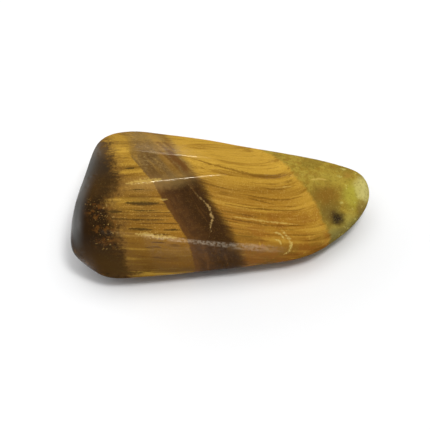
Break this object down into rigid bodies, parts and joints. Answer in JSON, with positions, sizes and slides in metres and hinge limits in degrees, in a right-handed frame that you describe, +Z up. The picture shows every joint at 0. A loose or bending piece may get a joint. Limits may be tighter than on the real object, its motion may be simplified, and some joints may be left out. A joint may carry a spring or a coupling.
{
  "type": "tumbled tiger's eye stone",
  "caption": "Polished tumbled pebble of golden tiger's eye: a long wedge with crisp top ridges, a thick dark end, a thin pale quartz tip and a flat underside to rest on.",
  "frame": {"origin": "middle of the bounding box, on the plane of the flat that the stone rests on", "axes": "+X along the length, from the thick dark end to the thin quartz tip; +Y towards the back; +Z up from the flat"},
  "size_m": [0.0342, 0.0182, 0.0115],
  "materials": {
    "polished_tigers_eye": "tumbled and polished, glossy; golden fibre bands with a chatoyant sheen, one brown slab, a dark thick end and an olive quartz tip"
  },
  "bodies": {
    "root": {"stone": "polished_tigers_eye"}
  },
  "joints": []
}
